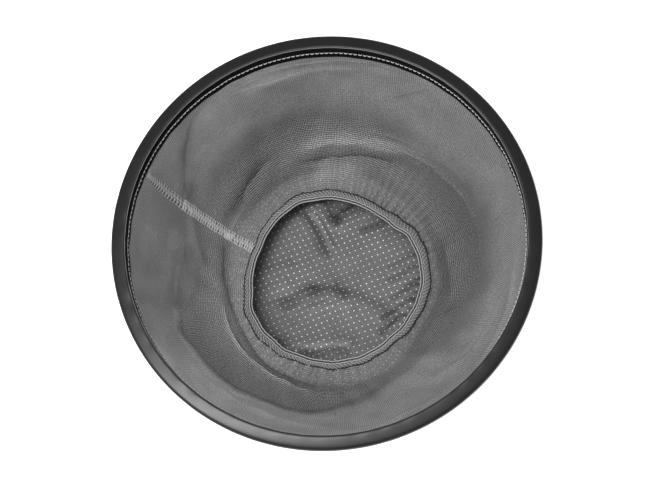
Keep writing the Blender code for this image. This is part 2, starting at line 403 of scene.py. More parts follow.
def crown_relief(x, y):
    """(height, tone) that the ridges and hollows give the crown cloth at (x, y)."""
    rise, shade = 0.0, 0.0
    for x0, y0, x1, y1, height, width, tone in CROWN_RIDGES:
        dx, dy = x1 - x0, y1 - y0
        length = math.hypot(dx, dy)
        along = ((x - x0) * dx + (y - y0) * dy) / length**2
        aside = ((x - x0) * dy - (y - y0) * dx) / length + 0.0012 * np.sin(along * 5 + 40 * x0)
        over = np.clip(-along, 0, None) + np.clip(along - 1, 0, None)
        near = np.exp(-((aside / width) ** 2) - (over * length / width) ** 2)
        rise = rise + height * near
        # painted light and shade along the ridge or hollow, by its tone
        shade = shade + tone * near
    return rise, shade


def crown_look(theta, s):
    """(tone, mesh, threads) of the crown cloth, whose material reads only the tone."""
    direction, radius, _ = crown_place(theta, s)
    x, y = radius * np.cos(direction), radius * np.sin(direction)
    # Painted light: the bulge, under the net, is made much paler; the flat middle takes the ridges' painted
    # tone.
    shade = np.where(s > CROWN_BULGE, crown_relief(x, y)[1], 0.90)
    inner_edge = HEAD_RADIUS + ring_shift(theta) - radius
    # painted light and shade in stripes for the gathers along the ring's inner edge
    pleats = np.sin(70 * theta + 3 * np.sin(6 * theta)) * bell(theta, 330, 50)
    pleats = pleats + np.sin(88 * theta + 2 * np.sin(7 * theta)) * bell(theta, 235, 40)
    shade = shade + 0.34 * pleats * np.exp(-((inner_edge / 0.016) ** 2)) * (s > CROWN_BULGE)
    shade = shade + 0.05 * waves(x / 0.03, y / 0.04, 33, (1, 4), (-1.0, 1.0))
    return 0.5 + 0.5 * np.clip(shade, -0.7, 0.9), 1 + 0 * shade, 1 + 0 * shade


def crown_place(theta, s):
    """(direction, radius, height) of the crown cloth, from its edge at the ring (0) to its middle (1)."""
    bulge = np.clip(s / CROWN_BULGE, 0, 1)
    turn = math.pi / 2 - math.pi * bulge
    middle = (CROWN_EDGE_HEIGHT + CROWN_FLOOR) / 2
    side = (CROWN_EDGE_HEIGHT - CROWN_FLOOR) / 2
    spread = 1 + 0.10 * waves(theta, 0, 21, (2, 6), (0, 1)) + 0.06 * waves(theta, 0, 22, (9, 24), (0, 1))
    slump = SLUMP * bell(theta, SLUMP_SIDE, SLUMP_SPREAD)
    radius = CROWN_SHOULDER + (CROWN_RADIUS - 0.003 - CROWN_SHOULDER + slump) * np.cos(turn) * spread
    radius = radius - (CROWN_SHOULDER - CROWN_EDGE) * (1 - smooth_step(bulge / 0.35))
    height = middle + side * np.sin(turn)
    flat = np.clip((s - CROWN_BULGE) / (1 - CROWN_BULGE), 0, 1)
    radius = np.where(flat > 0, CROWN_SHOULDER * (1 - flat), radius)
    pucker = np.sin(58 * theta + 2.2 * np.sin(4 * theta)) * np.exp(-bulge / 0.35) * smooth_step(bulge / 0.04)
    height = height + 0.0010 * pucker
    x, y = radius * np.cos(theta), radius * np.sin(theta)
    inside = smooth_step(flat / 0.12)
    ripple = 0.0009 * (1 + waves(x / 0.03, y / 0.05, 31, (1, 3), (-1.0, 1.0)))
    height = height + inside * (crown_relief(x, y)[0] + ripple)
    height = np.maximum(height, CROWN_FLOOR)
    near_ring = 1 - smooth_step(bulge / 0.5)
    return theta, radius + ring_shift(theta) * near_ring, height + ring_rise(theta) * near_ring


# ---------------- mesh makers

def mesh_object(name, points, faces, uvs, look=None):
    mesh = bpy.data.meshes.new(name)
    mesh.from_pydata(points.tolist(), [], faces)
    layer = mesh.uv_layers.new(name="fabric")
    layer.data.foreach_set("uv", uvs.astype(np.float32).ravel())
    if look is not None:
        colours = np.stack([*(np.ravel(part) for part in look), np.ones(len(points))], axis=1)
        layer = mesh.color_attributes.new("look", "FLOAT_COLOR", "POINT")
        layer.data.foreach_set("color", colours.astype(np.float32).ravel())
    mesh.shade_smooth()
    made = bpy.data.objects.new(name, mesh)
    bpy.context.scene.collection.objects.link(made)
    return made


def turned_sheet(name, around, along, place, width=None, section_closed=False, planar=False, joined_at=None,
                 look=None):
    """A sheet or closed section turned about Z. Its UVs are metres of cloth.

    place gives (direction, radius, height) for arrays of directions and shares. width is the flat length of
    cloth in one turn; planar UVs spread the cloth like a disc instead. With joined_at, two shares, the cloth
    is measured from its start before the first and from its end after the second. look gives the tone, mesh
    and threads of the cloth.
    """
    theta = np.linspace(0, TAU, around, endpoint=False)[:, None]
    s = np.linspace(0, 1, along, endpoint=not section_closed)[None, :]
    direction, radius, height = (a + 0 * theta + 0 * s for a in place(theta, s))
    points = np.stack([radius * np.cos(direction), radius * np.sin(direction), height], axis=-1)
    steps = np.hypot(np.diff(radius, axis=1), np.diff(height, axis=1))
    length = np.concatenate([np.zeros((around, 1)), np.cumsum(steps, axis=1)], axis=1)
    if joined_at:
        from_end = length[:, -1].mean() - (length[:, -1:] - length)
        change = smooth_step((s - joined_at[0]) / (joined_at[1] - joined_at[0]))
        length = length * (1 - change) + from_end * change
    if section_closed:
        last = np.hypot(radius[:, 0] - radius[:, -1], height[:, 0] - height[:, -1])
        length = np.concatenate([length, length[:, -1:] + last[:, None]], axis=1)
    i, j = np.meshgrid(np.arange(around), np.arange(along if section_closed else along - 1), indexing="ij")
    i, j = i.ravel(), j.ravel()
    ahead, across = (i + 1) % around, (j + 1) % along
    faces = np.stack([i * along + j, ahead * along + j, ahead * along + across, i * along + across], axis=1)
    corners = ((i, i, j), (i + 1, ahead, j), (i + 1, ahead, j + 1), (i, i, j + 1))
    if planar:
        out = length[:, -1:] - length
        u, v = out * np.cos(theta), out * np.sin(theta)
        places = [(u[b, c], v[b, c]) for _, b, c in corners]
    else:
        turn = (width or TAU * radius.max()) / around
        places = [(a * turn, length[b, c]) for a, b, c in corners]
    uvs = np.stack([np.stack(pair, axis=1) for pair in places], axis=1)
    shown = look(theta + 0 * s, s + 0 * theta) if look else None
    return mesh_object(name, points.reshape(-1, 3), faces.tolist(), uvs, shown)


def tube_points(path, radii, sides):
    """Rings of points round a path. The first side of each faces up."""
    ahead = np.gradient(path, axis=0)
    ahead /= np.linalg.norm(ahead, axis=1)[:, None]
    aside = np.cross(ahead, np.array([0.0, 0.0, 1.0]))
    aside /= np.linalg.norm(aside, axis=1)[:, None]
    over = np.cross(aside, ahead)
    turns = np.linspace(0, TAU, sides, endpoint=False)
    ring = np.cos(turns)[None, :, None] * over[:, None] + np.sin(turns)[None, :, None] * aside[:, None]
    return path[:, None] + ring * np.asarray(radii)[:, None, None]


THREAD_END = 0.45  # the thickness of a thread's end, as a share of the thread's


def tubes(name, paths, radius, sides=6, closed=False):
    """Many threads as one mesh: one tube along each path of points, with narrowed ends unless closed."""
    all_points, all_faces, all_uvs, base = [], [], [], 0
    for path in paths:
        path = np.asarray(path, float)
        count = len(path)
        if closed:
            wrapped = np.concatenate([path[-1:], path, path[:1]])
            rings = tube_points(wrapped, np.full(count + 2, radius), sides)[1:-1]
        else:
            radii = np.full(count, radius)
            radii[[0, -1]] *= THREAD_END
            rings = tube_points(path, radii, sides)
        all_points.append(rings.reshape(-1, 3))
        i, j = np.meshgrid(np.arange(count if closed else count - 1), np.arange(sides), indexing="ij")
        i, j = i.ravel(), j.ravel()
        i2, j2 = (i + 1) % count, (j + 1) % sides
        quads = np.stack([i * sides + j, i2 * sides + j, i2 * sides + j2, i * sides + j2], axis=1) + base
        all_faces.extend(quads.tolist())
        steps = np.concatenate([[0], np.cumsum(np.linalg.norm(np.diff(path, axis=0), axis=1))])
        steps = np.append(steps, steps[-1] + np.linalg.norm(path[0] - path[-1]))
        girth = TAU * radius / sides
        corners = ((i, j), (i + 1, j), (i + 1, j + 1), (i, j + 1))
        uvs = np.stack([np.stack([steps[a], b * girth], 1) for a, b in corners], axis=1)
        all_uvs.append(uvs.reshape(-1, 2))
        if not closed:
            for start in (base, base + (count - 1) * sides):
                cap = list(range(start, start + sides))
                all_faces.append(cap[::-1] if start == base else cap)
                all_uvs.append(np.zeros((sides, 2)))
        base += count * sides
    return mesh_object(name, np.concatenate(all_points), all_faces, np.concatenate(all_uvs))


def polar(theta, radius, height):
    return np.stack([radius * np.cos(theta), radius * np.sin(theta), height + 0 * theta], axis=-1)


def stitch_row(name, count, share, thickness, path, lift):
    """A row of stitches round a ring. path(theta, lift) gives points; each stitch arches up and dives in."""
    go = np.linspace(0, 1, 7)
    rows = []
    for k in range(count):
        arch = np.sin(math.pi * go) ** 0.5
        rows.append(path(TAU * (k + share * go) / count, lift * (arch - 0.35)))
    return tubes(name, rows, thickness)


# ---------------- materials

def graph(name):
    made = bpy.data.materials.new(name)
    made.use_nodes = True
    return made, made.node_tree, made.node_tree.nodes["Principled BSDF"]


def add(tree, kind, inputs=(), **settings):
    node = tree.nodes.new("ShaderNode" + kind)
    for key, value in settings.items():
        setattr(node, key, value)
    for socket, value in dict(inputs).items():
        feed(tree, node.inputs[socket], value)
    return node


def feed(tree, socket, value):
    if isinstance(value, bpy.types.NodeSocket):
        tree.links.new(value, socket)
    else:
        socket.default_value = value


def calc(tree, operation, *values):
    node = add(tree, "Math", operation=operation)
    for socket, value in zip(node.inputs, values):
        feed(tree, socket, value)
    return node.outputs[0]


def weighed(tree, *parts):
    """The sum of (value, weight) parts."""
    products = [calc(tree, "MULTIPLY", value, weight) for value, weight in parts]
    total = products[0]
    for product in products[1:]:
        total = calc(tree, "ADD", total, product)
    return total


def set_surface(shader, roughness, specular):
    shader.inputs["Roughness"].default_value = roughness
    shader.inputs["Specular IOR Level"].default_value = specular


def fabric_uv(tree):
    """The cloth's own coordinates in metres, as separate sockets and as a vector."""
    uv = add(tree, "UVMap", uv_map="fabric").outputs["UV"]
    parts = add(tree, "SeparateXYZ", {"Vector": uv})
    return parts.outputs["X"], parts.outputs["Y"], uv


def noise(tree, vector, scale, detail=3.0, roughness=0.55):
    node = add(tree, "TexNoise", {"Vector": vector, "Scale": scale, "Detail": detail, "Roughness": roughness})
    return node.outputs["Fac"]


def ramp(tree, value, stops):
    """A colour by value, through (place, grey) stops."""
    node = add(tree, "ValToRGB", {"Fac": value})
    element = node.color_ramp.elements
    while len(element) < len(stops):
        element.new(0.5)
    for slot, (place, grey) in zip(element, stops):
        slot.position = place
        slot.color = (grey, grey, grey * 1.01, 1.0)
    return node.outputs["Color"]


def blend_colour(tree, share, first, second):
    node = add(tree, "Mix", data_type="RGBA")
    feed(tree, node.inputs["Factor"], share)
    feed(tree, node.inputs[6], first)
    feed(tree, node.inputs[7], second)
    return node.outputs[2]


def near_line(tree, coordinate, pitch):
    """Distance from the nearest line of a row of lines, in metres."""
    return calc(tree, "PINGPONG", coordinate, pitch / 2)


def mapped(tree, value, at_low, at_high, low=0.0, high=1.0):
    """at_low where value is low or under, at_high where it is high or over, and evenly between them."""
    inputs = {"Value": value, "From Min": low, "From Max": high, "To Min": at_low, "To Max": at_high}
    return add(tree, "MapRange", inputs).outputs["Result"]


def soft_below(tree, value, edge, blur):
    """1 where value is under edge, 0 where it is over edge + blur."""
    return mapped(tree, value, 1.0, 0.0, edge, edge + blur)


def bump(tree, height, strength, distance):
    node = add(tree, "Bump", {"Height": height, "Strength": strength, "Distance": distance})
    return node.outputs["Normal"]


def look_of(tree):
    """The cloth's tone, mostly painted light and shade, 0.5 where usual, and how fully its mesh and threads
    show.
    """
    colour = add(tree, "Attribute", attribute_name="look").outputs["Color"]
    parts = add(tree, "SeparateColor", {"Color": colour})
    return parts.outputs["Red"], parts.outputs["Green"], parts.outputs["Blue"]


def toned(tree, colour, tone):
    """The colour made paler or darker by the cloth's tone: its painted light and shade."""
    scaled = add(tree, "VectorMath", {0: colour}, operation="SCALE")
    feed(tree, scaled.inputs["Scale"], calc(tree, "MULTIPLY", tone, 2.0))
    return scaled.outputs["Vector"]


NET_PITCH = 0.0022
NET_THREAD = 0.00054
NET_FILM = 0.86  # how much of the light the fine mesh holds back
NET_PALE = 0.176
NET_DARK = 0.010


def net_material():
    """Square net of paler threads with a finer mesh between them, partly see-through."""
    made, tree, shader = graph("net_mesh")
    u, v, uv = fabric_uv(tree)
    tone, mesh_share, thread_share = look_of(tree)
    wander = calc(tree, "MULTIPLY", calc(tree, "SUBTRACT", noise(tree, uv, 60, 2.0), 0.5), 0.0009)
    threads = []
    for place in (calc(tree, "ADD", u, wander), calc(tree, "ADD", v, wander)):
        threads.append(soft_below(tree, near_line(tree, place, NET_PITCH), NET_THREAD / 2, 0.00012))
    thread = calc(tree, "MAXIMUM", *threads)
    patch = noise(tree, uv, 30, 5.0, 0.65)
    mesh = mapped(tree, patch, NET_FILM - 0.04, NET_FILM + 0.04, low=0.3, high=0.7)
    covers = calc(tree, "MULTIPLY", thread, thread_share), calc(tree, "MULTIPLY", mesh, mesh_share)
    feed(tree, shader.inputs["Alpha"], calc(tree, "MINIMUM", calc(tree, "MAXIMUM", *covers), 1.0))
    mottle = noise(tree, uv, 420, 3.0, 0.7)
    film = ramp(tree, mottle, ((0.30, NET_DARK * 0.75), (0.70, NET_DARK * 1.35)))
    lines = ramp(tree, mottle, ((0.32, NET_PALE * 0.52), (0.70, NET_PALE * 1.50)))
    feed(tree, shader.inputs["Base Color"], toned(tree, blend_colour(tree, thread, film, lines), tone))
    set_surface(shader, 0.55, 0.25)
    feed(tree, shader.inputs["Normal"], bump(tree, thread, 0.4, 0.0002))
    return made


HOLE_PITCH = 0.0062
HOLE_RADIUS = 0.00046
# From a hole to the next in its row and in its column, across and along the cloth, in pitches
ROW_STEP = (0.99420, 0.10760)
COLUMN_STEP = (0.23680, -0.97160)
RIB_PITCH = 0.0021
WEFT_PITCH = 0.0009
CROWN_GREY = 0.068


def perforated_material():
    """Dark woven cloth with rows of small holes, painted light as pale discs, on a slanting square lattice.
    """
    made, tree, shader = graph("perforated_cloth")
    u, v, uv = fabric_uv(tree)
    tone, _, _ = look_of(tree)
    row = [HOLE_PITCH * part for part in ROW_STEP]
    column = [HOLE_PITCH * part for part in COLUMN_STEP]
    area = row[0] * column[1] - row[1] * column[0]
    cells = []
    for du, dv in ((column[1] / area, -column[0] / area), (-row[1] / area, row[0] / area)):
        at = weighed(tree, (u, du), (v, dv))
        cells.append(calc(tree, "SUBTRACT", calc(tree, "FRACT", at), 0.5))
    sides = [weighed(tree, (cells[0], row[part]), (cells[1], column[part])) for part in (0, 1)]
    away = calc(tree, "SQRT", weighed(tree, *((side, side) for side in sides)))
    patch = noise(tree, uv, 22, 4.0, 0.6)
    # Painted light: each hole is a pale disc for the lit floor seen through it, unevenly bright at random.
    hole = soft_below(tree, away, HOLE_RADIUS, 0.00025)
    lit = mapped(tree, patch, 0.40, 1.0, low=0.35, high=0.62)
    hole = calc(tree, "MULTIPLY", calc(tree, "MULTIPLY", hole, lit), calc(tree, "MULTIPLY", tone, 2.0))
    ribs = weighed(tree, (u, -ROW_STEP[1]), (v, ROW_STEP[0]))
    rib = calc(tree, "MULTIPLY", near_line(tree, ribs, RIB_PITCH), 2 / RIB_PITCH)
    weft = calc(tree, "MULTIPLY", near_line(tree, u, WEFT_PITCH), 2 / WEFT_PITCH)
    weave = weighed(tree, (rib, 0.65), (weft, 0.35))
    cloth = weighed(tree, (patch, 0.35), (weave, 0.35), (noise(tree, uv, 380, 3.0, 0.75), 0.42))
    colour = ramp(tree, cloth, ((0.32, CROWN_GREY * 0.42), (0.74, CROWN_GREY * 1.75)))
    feed(tree, shader.inputs["Base Color"],
         blend_colour(tree, hole, toned(tree, colour, tone), (0.72, 0.72, 0.73, 1)))
    set_surface(shader, 0.62, 0.3)
    feed(tree, shader.inputs["Normal"], bump(tree, calc(tree, "SUBTRACT", weave, hole), 0.3, 0.0002))
    return made


def satin_material():
    """Black satin binding: fine diagonal floats under a broad soft gloss."""
    made, tree, shader = graph("satin_binding")
    u, v, uv = fabric_uv(tree)
    floats = calc(tree, "SINE", weighed(tree, (u, 1800.0), (v, 3400.0)))
    patch = noise(tree, uv, 45, 4.0, 0.6)
    feed(tree, shader.inputs["Base Color"], ramp(tree, patch, ((0.3, 0.004), (0.75, 0.006))))
    feed(tree, shader.inputs["Roughness"], mapped(tree, patch, 0.31, 0.38))
    shader.inputs["Specular IOR Level"].default_value = 0.30
    height = weighed(tree, (floats, 0.25), (noise(tree, uv, 140, 2.0), 1.0))
    feed(tree, shader.inputs["Normal"], bump(tree, height, 0.15, 0.0002))
    return made


def tape_material(name, grey, rib=0.0011, contrast=1.4, gloss=0.15):
    """Matt woven tape with ribs across it, mottled by the unevenness of its yarn."""
    made, tree, shader = graph(name)
    u, v, uv = fabric_uv(tree)
    ribs = calc(tree, "MULTIPLY", near_line(tree, u, rib), 2 / rib)
    rows = calc(tree, "MULTIPLY", near_line(tree, v, rib * 0.6), 2 / (rib * 0.6))
    weave = weighed(tree, (ribs, 0.6), (rows, 0.4))
    value = weighed(tree, (weave, 0.4), (noise(tree, uv, 700, 3.0, 0.7), 0.6))
    colour = ramp(tree, value, ((0.32, grey / contrast), (0.68, grey * contrast)))
    feed(tree, shader.inputs["Base Color"], colour)
    set_surface(shader, 0.7, gloss)
    feed(tree, shader.inputs["Normal"], bump(tree, weave, 0.5, 0.0003))
    return made


def thread_material(name, grey):
    """Spun thread with its two plies twisted round each other and some fuzz."""
    made, tree, shader = graph(name)
    u, v, uv = fabric_uv(tree)
    twist = weighed(tree, (u, TAU / 0.0011), (v, TAU / 0.0008))
    plies = calc(tree, "MULTIPLY_ADD", calc(tree, "SINE", twist), 0.5, 0.5)
    value = weighed(tree, (plies, 0.5), (noise(tree, uv, 900), 0.5))
    feed(tree, shader.inputs["Base Color"], ramp(tree, value, ((0.2, grey * 0.6), (0.8, grey * 1.25))))
    set_surface(shader, 0.7, 0.3)
    feed(tree, shader.inputs["Normal"], bump(tree, plies, 0.6, 0.0002))
    return made


def steel_material():
    """Drawn spring wire: streaked along its length."""
    made, tree, shader = graph("drawn_wire")
    place = add(tree, "TexCoord").outputs["Object"]
    streaks = noise(tree, place, 600, 3.0)
    feed(tree, shader.inputs["Base Color"], ramp(tree, streaks, ((0.3, 0.38), (0.7, 0.60))))
    shader.inputs["Metallic"].default_value = 1.0
    feed(tree, shader.inputs["Roughness"], mapped(tree, streaks, 0.25, 0.42))
    return made


def finish_piece(piece, material, slot, *nodes):
    """Give a piece its material and hide the named CAD nodes that it replaces. Its slot is not used."""
    piece.data.materials.append(material)
    if nodes:
        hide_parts(*nodes)


# ---------------- the pieces

# Half of the binding's section: (outward from the wire, up), from its sewn inner edge to its outer fold
BAND_SECTION = (
    (-0.0097, 0.002), (-0.009, 0.0026), (-0.007, 0.003), (-0.0045, 0.0033), (-0.002, 0.0035),
    (0.0004, 0.0036), (0.002, 0.0034), (0.0031, 0.0027), (0.0036, 0.0014),
)
BAND_THICKNESS = 0.0008
SEWN_EDGE = -0.006  # inward of this the band is thin and flutters more
# how far in from the wire the pale thread of the painted edge highlight runs
EDGE_HIGHLIGHT_INSET = 0.0098


def build_binding():
    """A tape folded flat over the hoop: full at the wire, thin at its two sewn edges."""
    outer = [*BAND_SECTION, (FOLD_RADIUS, 0.0), *((r, -z) for r, z in BAND_SECTION[::-1])]
    inner = []
    for r, z in BAND_SECTION:
        thin = BAND_THICKNESS * np.array([max(r, 0) / FOLD_RADIUS, 1])
        inner.append((r - thin[0], max(z - thin[1] * min(1, 1.6 * z / FOLD_RADIUS + 0.2), 0.0004)))
    inside = [*((r, -z) for r, z in inner), (FOLD_RADIUS - BAND_THICKNESS, 0.0), *inner[::-1]]
    section = np.array([*outer, *inside])
    section = section + np.stack([0 * section[:, 0], -BAND_CANT * section[:, 0]], axis=1)

    def place(theta, s):
        at = np.round(s * len(section)).astype(int) % len(section)
        edge = np.where(section[at, 0] < SEWN_EDGE, 1, 0.15)
        flutter = 0.00016 * waves(theta, 0, 41, (20, 60), (0, 1)) * edge
        return theta, WIRE_RADIUS + section[at, 0] + flutter, RIM_HEIGHT + section[at, 1] + flutter

    binding = turned_sheet("rim_binding_tape", 360, len(section), place, section_closed=True)
    finish_piece(binding, satin_material(), "binding_tape", "rim_binding")
    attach(binding, "hoop")

    # Painted highlight: a pale thread along the binding's inner edge, standing for that edge catching the
    # light.
    turn = np.linspace(0, TAU, 720, endpoint=False)
    shake = 0.00012 * waves(turn, 0, 42, (30, 90), (0, 1))
    height = RIM_HEIGHT + EDGE_HIGHLIGHT_INSET * BAND_CANT + 0.0016
    edge = polar(turn, WIRE_RADIUS - EDGE_HIGHLIGHT_INSET + shake, height)
    edge_highlight = tubes("rim_binding_edge_highlight", [edge], 0.00034, closed=True)
    finish_piece(edge_highlight, thread_material("edge_highlight_thread", 0.17), "binding_tape")
    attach(edge_highlight, "hoop")


HEM_THICKNESS = 0.0008
HEM_FLANGE = 0.0046  # how far its top edge turns out between the binding's edges
STITCH_DROP = RIM_HEIGHT - sum(corner.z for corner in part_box("rim_stitching")) / 2 + 0.0010
HEM_RISE = HEM_INSET * BAND_CANT  # the canted band lifts the hem's upper edge


def hem_place(theta, drop, lift=0.0):
    """(direction, radius, height) of the hem's inner face, drop metres down from its upper edge."""
    share = drop / (RIM_HEIGHT - HEM_BOTTOM)
    height = RIM_HEIGHT + HEM_RISE * (1 - share) - drop + 0 * theta
    return theta, HEM_RADIUS - HEM_THICKNESS - HEM_LEAN * share - lift + hem_ripple(theta) * share, height


def build_hem():
    """The upright tape below the rim, its top edge turned out between the binding's edges."""
    depth = RIM_HEIGHT - HEM_BOTTOM

    def place(theta, s):
        turned = smooth_step((0.10 - s) / 0.10) + smooth_step((s - 0.90) / 0.10)
        down = np.clip((0.5 - np.abs(s - 0.5) - 0.10) / 0.38, 0, 1)
        direction, radius, height = hem_place(theta, 0.0004 + down * (depth - 0.0006))
        flange = HEM_FLANGE * turned
        radius = radius + np.where(s > 0.5, HEM_THICKNESS, 0) + flange + 0.0002 * np.sin(math.pi * down)
        height = height + np.where(s > 0.5, -0.0004, 0.0004) * turned - BAND_CANT * flange
        return direction, radius, height

    hem = turned_sheet("rim_hem_tape", 360, 44, place, section_closed=True)
    finish_piece(hem, tape_material("hem_weave", 0.0035, gloss=0.05), "hem_tape", "rim_hem")
    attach(hem, "hoop")

    def path(turn, lift):
        return polar(*hem_place(turn, STITCH_DROP, lift + 0.0002))

    stitches = stitch_row("rim_topstitches", 252, 0.76, 0.00042, path, 0.0007)
    finish_piece(stitches, thread_material("light_thread", 0.46), "thread", "rim_stitching")
    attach(stitches, "hoop")


def build_net():
    net = turned_sheet("veil_net_cloth", 480, 250, net_place, width=NET_CLOTH_WIDTH,
                       joined_at=(NET_STATIONS[2], NET_STATIONS[4]), look=net_look)
    finish_piece(net, net_material(), "net", "veil_net")
    return net


SIDE_SEAM_WIDTH = 0.0102
LACING_PITCH = 0.0040
SEAM_STITCH_PITCH = 0.0036


def seam_point(s, aside, lift):
    """A point on the side seam: aside is metres across it, lift metres above the net's inner face."""
    _, radius, _ = net_place(SEAM_ANGLE, s)
    return polar(*net_place(SEAM_ANGLE + aside / radius, s, lift))


def seam_wander(s):
    """How far sideways the side seam strays. It was sewn in clockwise of its direction at the rim."""
    share = net_layers(SEAM_ANGLE + 0 * s, s)[0]
    return -0.0070 + 0.0050 * share - 0.0030 * np.sin(math.pi * share) + 0.0003 * np.sin(s * 97 + 1)


def build_side_seam():
    """The doubled net edge, with overlock thread laced across it and a row of stitches along it."""
    along, across = 170, 9
    first, last = NET_STATIONS[1] * 0.9, 0.985
    s = np.linspace(first, last, along)[:, None]
    w = np.linspace(-0.5, 0.5, across)[None, :]
    hump = 0.0009 * (1 - (2 * w) ** 6) + 0.00015 * np.sin(s * 900)
    points = seam_point(s + 0 * w, SIDE_SEAM_WIDTH * w + seam_wander(s), hump)
    i, j = (a.ravel() for a in np.meshgrid(np.arange(along - 1), np.arange(across - 1), indexing="ij"))
    corners = ((i, j), (i, j + 1), (i + 1, j + 1), (i + 1, j))
    faces = np.stack([a * across + b for a, b in corners], axis=1)
    steps = np.linalg.norm(np.diff(points[:, across // 2], axis=0), axis=1)
    run = np.concatenate([[0], np.cumsum(steps)])
    uvs = np.stack([np.stack([run[a], w[0, b] * SIDE_SEAM_WIDTH], 1) for a, b in corners], axis=1)
    band = mesh_object("side_seam_band", points.reshape(-1, 3), faces.tolist(), uvs)
    cloth = tape_material("seam_cloth", 0.070, rib=0.0052, contrast=4.0)
    finish_piece(band, cloth, "overlock_thread", "side_seam_overlock")

    loops = int(run[-1] / LACING_PITCH)
    go = np.linspace(0, 1, 5)
    side = SIDE_SEAM_WIDTH * np.array([-0.50, -0.22, 0.05, 0.32, 0.54])
    lift = np.array([0.0006, 0.0016, 0.0018, 0.0016, 0.0004])
    lacing = []
    for k in range(loops):
        at = first + (last - first) * (k / loops + go * 0.9 / loops)
        lacing.append(seam_point(at, side + seam_wander(at), lift))
        half_on = at + (last - first) * 0.5 / loops
        lacing.append(seam_point(half_on, side[::-1] + seam_wander(at), lift))
    threads = tubes("side_seam_overlock_thread", lacing, 0.00038, sides=5)
    finish_piece(threads, thread_material("seam_thread", 0.46), "overlock_thread")

    count = int(run[-1] / SEAM_STITCH_PITCH)
    go = np.linspace(0, 1, 6)
    arch = np.sin(math.pi * go) ** 0.5
    rows = []
    for k in range(count):
        at = first + (last - first) * (k + 0.74 * go) / count
        rows.append(seam_point(at, seam_wander(at) - 0.0012, 0.0013 + 0.0012 * arch))
    stitches = tubes("side_seam_stitches", rows, 0.00034)
    finish_piece(stitches, thread_material("seam_stitch_thread", 0.36), "thread", "side_seam_stitching")
    return band, threads, stitches


def build_crown():
    crown = turned_sheet("crown_perforated_cloth", 480, 170, crown_place, planar=True, look=crown_look)
    finish_piece(crown, perforated_material(), "crown_cloth", "crown_cloth")
    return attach(crown, "crown")


def ring_point(theta, out, rise):
    """(direction, radius, height) on the head ring: out metres outside the elastic, rise above its middle."""
    return theta, HEAD_RADIUS + out + ring_shift(theta), HEAD_HEIGHT + rise + ring_rise(theta)


ELASTIC_RIBS = 150


def build_elastic():
    half = (ELASTIC_HIGH.z - ELASTIC_LOW.z) / 2

    def place(theta, s):
        turn = TAU * s
        squarish = np.sign(np.sin(turn)) * np.abs(np.sin(turn)) ** 0.5
        rib = 0.00022 * np.sin(ELASTIC_RIBS * theta) * np.abs(squarish)
        out = -0.0005 + 0.0005 * np.cos(turn) + rib
        return ring_point(theta, out, half * squarish)

    elastic = turned_sheet("head_ring_elastic", 600, 14, place, section_closed=True)
    finish_piece(elastic, tape_material("ribbed_elastic", 0.030, rib=0.0016), "elastic", "head_elastic")
    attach(elastic, "crown")


PIPING_OUT = -0.0002
PIPING_RISE = 0.0048


def build_piping():
    """A narrow bound edge with two raised cords along the inside of the head ring."""
    def place(theta, s):
        turn = TAU * s
        across = 0.0024 * np.cos(turn)
        flat = 0.00055 * np.sin(turn) + 0.00012 * waves(theta, 0, 61, (30, 90), (0, 1))
        return ring_point(theta, PIPING_OUT + across, PIPING_RISE + flat)

    piping = turned_sheet("head_ring_piping", 480, 16, place, section_closed=True)
    cloth = tape_material("piping_cloth", 0.026, rib=0.0009, contrast=1.8)
    finish_piece(piping, cloth, "hem_tape", "crown_piping")
    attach(piping, "crown")

    cords = []
    turn = np.linspace(0, TAU, 720, endpoint=False)
    for out in (-0.0014, 0.0013):
        shake = 0.00022 * waves(turn, out * 900, 62, (40, 140), (0, 1))
        cords.append(polar(*ring_point(turn, PIPING_OUT + out + shake, PIPING_RISE + 0.00065)))
    edge = tubes("head_ring_piping_cords", cords, 0.00052, closed=True)
    finish_piece(edge, thread_material("piping_cord", 0.34), "hem_tape")
    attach(edge, "crown")


BAND_INNER, BAND_OUTER, BAND_RISE = 0.0018, 0.0068, 0.0052


def band_point(theta, share, lift=0.0):
    """On the head ring's seam allowance: share goes from its inner edge (0) to its raw outer edge (1)."""
    width = (BAND_OUTER - BAND_INNER) * around_values(theta, ALLOWANCE_WIDTH)
    out = BAND_INNER + width * share + 0.0005 * waves(theta, 0, 71, (9, 30), (0, 1)) * share
    rise = BAND_RISE - 0.0006 * share + 0.0006 * np.sin(math.pi * share) + lift
    rise = rise + 0.0004 * waves(theta, share, 72, (20, 60), (-1, 1)) * share
    return ring_point(theta, out, rise)


RING_LOOPS = 150


